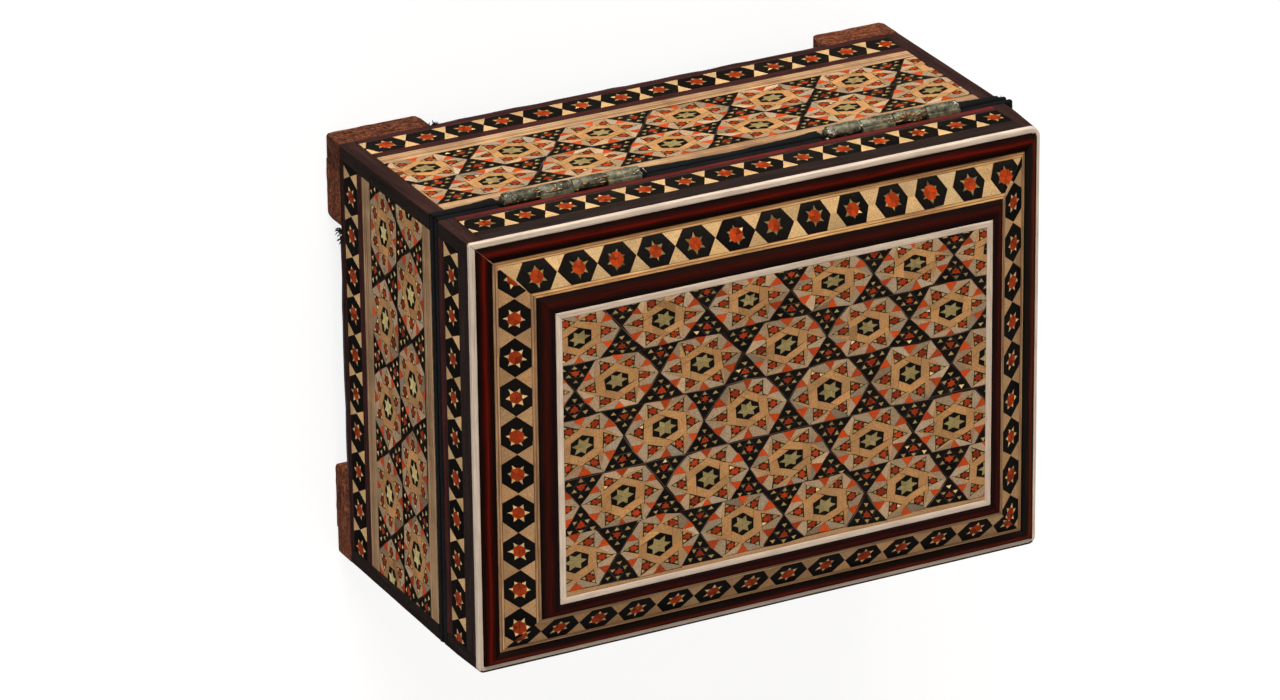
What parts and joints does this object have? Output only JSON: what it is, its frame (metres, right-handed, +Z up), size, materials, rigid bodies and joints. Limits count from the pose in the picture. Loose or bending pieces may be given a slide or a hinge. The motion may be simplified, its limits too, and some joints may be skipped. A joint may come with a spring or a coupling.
{
  "type": "inlaid wooden box",
  "caption": "Rectangular wooden box with star inlay on every face, a raised bevelled lid hinged along the back, and four low bracket feet.",
  "frame": {"origin": "on the floor under the middle of the box and its hinge barrels", "axes": "+Z up, +X along the box, +Y to the hinged back"},
  "size_m": [0.16, 0.1186, 0.0919],
  "materials": {
    "core_wood": "plain sawn, hidden under the inlay",
    "foot_wood": "oiled red-brown, satin",
    "ebony": "dark, lacquered",
    "dark_strip": "dark red-brown, lacquered",
    "star_band": "inlaid band, lacquered",
    "khatam": "inlaid panel, lacquered",
    "pale_wood": "pale, lacquered",
    "red_moulding": "dark red, gloss lacquer",
    "bone": "polished bone",
    "black_velvet": "velvet pile",
    "hinge_metal": "grey-green tarnish"
  },
  "bodies": {
    "case": {"case_front_board": "core_wood", "case_back_board": "core_wood", "case_left_board": "core_wood", "case_right_board": "core_wood", "case_bottom_board": "core_wood", "base_felt": "black_velvet", "foot_front_left": "foot_wood", "foot_front_right": "foot_wood", "foot_back_left": "foot_wood", "foot_back_right": "foot_wood", "case_post_front_left": "ebony", "case_post_front_right": "ebony", "case_post_back_left": "ebony", "case_post_back_right": "ebony", "base_strip": "dark_strip", "case_star_band_front": "star_band", "case_star_band_back": "star_band", "case_star_band_left": "star_band", "case_star_band_right": "star_band", "mid_strip": "dark_strip", "lower_pale_strip": "pale_wood", "case_inlay_panel_front": "khatam", "case_inlay_panel_back": "khatam", "case_inlay_panel_left": "khatam", "case_inlay_panel_right": "khatam", "upper_pale_strip": "pale_wood", "case_lining": "black_velvet", "case_rim_velvet": "black_velvet", "hinge_left_case_leaf": "hinge_metal", "hinge_left_pin": "hinge_metal", "hinge_right_case_leaf": "hinge_metal", "hinge_right_pin": "hinge_metal"},
    "lid": {"lid_frame": "core_wood", "lid_board": "core_wood", "lid_lining": "black_velvet", "lid_rim_velvet": "black_velvet", "lid_post_front_left": "ebony", "lid_post_front_right": "ebony", "lid_post_back_left": "ebony", "lid_post_back_right": "ebony", "lid_lower_strip": "dark_strip", "lid_star_band_front": "star_band", "lid_star_band_back": "star_band", "lid_star_band_left": "star_band", "lid_star_band_right": "star_band", "lid_upper_strip": "ebony", "bone_edging": "bone", "outer_moulding": "red_moulding", "outer_pale_line": "pale_wood", "bevel_star_band_front": "star_band", "bevel_star_band_back": "star_band", "bevel_star_band_left": "star_band", "bevel_star_band_right": "star_band", "inner_pale_line": "pale_wood", "inner_moulding": "red_moulding", "centre_bone_line": "bone", "centre_inlay_panel": "khatam", "hinge_left_lid_leaf": "hinge_metal", "hinge_right_lid_leaf": "hinge_metal"}
  },
  "joints": [
    {"name": "lid_hinge", "type": "hinge", "parent": "case", "child": "lid", "pos_m": [0, 0.0576, 0.063], "axis": [-1, 0, 0], "range_deg": [0, 105]}
  ]
}
